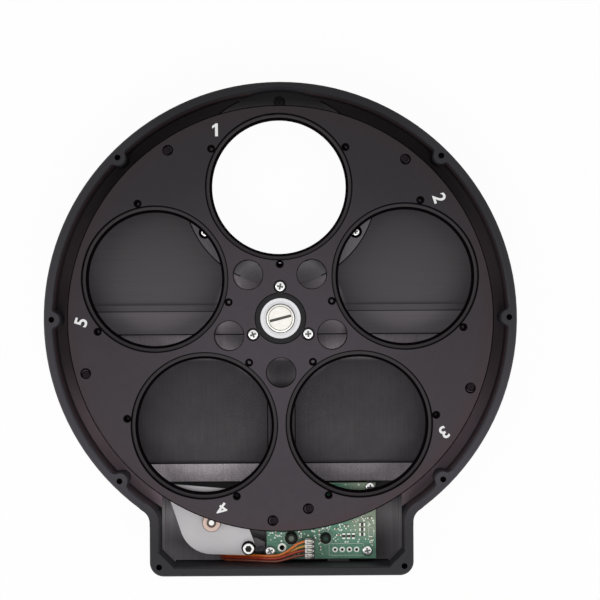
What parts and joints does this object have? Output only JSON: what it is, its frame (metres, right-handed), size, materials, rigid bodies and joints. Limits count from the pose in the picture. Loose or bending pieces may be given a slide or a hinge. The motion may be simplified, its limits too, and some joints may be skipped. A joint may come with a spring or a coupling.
{
  "type": "motorised optical filter wheel",
  "caption": "Open motorised filter wheel: round black dish with a carousel of threaded filter seats, a friction drive on a sprung swing arm, and a control board in a side bay.",
  "frame": {"origin": "on the flat back face of the housing, on the axis of the carousel", "axes": "+Z along the wheel axis towards the open side, -Y towards the electronics bay, +X to the right when looking into the open side with the bay at the bottom"},
  "size_m": [0.164, 0.1712, 0.017],
  "materials": {
    "housing_black": "matte black anodised aluminium",
    "carousel_black": "satin black anodised aluminium",
    "adapter_black": "satin black anodised aluminium",
    "hub_black": "black anodised aluminium",
    "axle_aluminium": "bare turned aluminium",
    "bright_steel": "bright machine screw",
    "bearing_steel": "ground bearing steel",
    "cage_brass": "stamped brass",
    "dark_steel": "black oxide steel",
    "plate_steel": "pale satin plate",
    "motor_steel": "drawn steel can",
    "gear_case_metal": "die-cast metal",
    "roller_brass": "peach coloured brass",
    "tyre_rubber": "matte rubber ring",
    "magnet_nickel": "nickel plated magnet",
    "board_green": "green solder mask",
    "connector_white": "white nylon",
    "contact_tin": "tin plated contact",
    "chip_black": "black moulded package",
    "resistor_brown": "small surface-mount part",
    "inductor_black": "black glossy part",
    "capacitor_dark": "dark glossy part",
    "socket_steel": "plated sheet steel",
    "tongue_black": "black moulded tongue",
    "gland_white": "white moulded block",
    "lead_orange": "orange insulation",
    "lead_red": "red insulation",
    "lead_brown": "dark red-brown insulation",
    "lead_yellow": "tan yellow insulation"
  },
  "bodies": {
    "housing_body": {"housing": "housing_black", "telescope_adapter": "adapter_black", "adapter_screws": "bright_steel", "axle_post": "axle_aluminium", "axle_washer": "bright_steel", "axle_screw": "bright_steel", "bearing_inner_race": "bearing_steel", "pivot_sleeve": "dark_steel", "pivot_washer": "dark_steel", "pivot_screw": "bright_steel", "anchor_pin": "dark_steel", "arm_spring": "dark_steel", "circuit_board": "board_green", "board_screws": "bright_steel", "motor_connector": "connector_white", "connector_contacts": "contact_tin", "hall_sensor": "chip_black", "controller_chip": "chip_black", "driver_chip": "chip_black", "power_inductor": "inductor_black", "filter_capacitor": "capacitor_dark", "chip_resistors": "resistor_brown", "usb_shell": "socket_steel", "usb_tongue": "tongue_black", "orange_lead": "lead_orange", "red_lead": "lead_red", "brown_lead": "lead_brown", "yellow_lead": "lead_yellow"},
    "carousel_body": {"carousel": "carousel_black", "carousel_hub": "hub_black", "hub_screws": "bright_steel", "drive_tyre": "tyre_rubber", "index_magnets": "magnet_nickel", "home_magnet": "magnet_nickel", "bearing_outer_race": "bearing_steel", "bearing_shields": "bearing_steel"},
    "ball_set": {"bearing_balls": "bearing_steel", "bearing_cage": "cage_brass"},
    "motor_arm": {"motor_plate": "plate_steel", "motor_can": "motor_steel", "gear_case": "gear_case_metal", "motor_screws": "bright_steel", "plate_pin": "bright_steel", "lead_gland": "gland_white"},
    "roller_body": {"motor_shaft": "bright_steel", "drive_roller": "roller_brass"}
  },
  "joints": [
    {"name": "carousel_spin", "type": "hinge", "parent": "housing_body", "child": "carousel_body", "pos_m": [0, 0, 0.0105], "axis": [0, 0, 1], "continuous": true},
    {"name": "ball_spin", "type": "hinge", "parent": "housing_body", "child": "ball_set", "pos_m": [0, 0, 0.0105], "axis": [0, 0, 1], "continuous": true},
    {"name": "arm_swing", "type": "hinge", "parent": "housing_body", "child": "motor_arm", "pos_m": [-0.0117, -0.0807, 0.0075], "axis": [0, 0, 1], "range_deg": [0, 3], "stiffness_Nm_per_rad": 0.026, "springref_deg": -57.3},
    {"name": "roller_spin", "type": "hinge", "parent": "motor_arm", "child": "roller_body", "pos_m": [-0.02458, -0.07139, 0.009], "axis": [0, 0, 1], "continuous": true}
  ],
  "couplings": [
    {"joint": "ball_spin", "follows": "carousel_spin", "ratio": 0.59524},
    {"joint": "roller_spin", "follows": "carousel_spin", "ratio": -21.864}
  ]
}
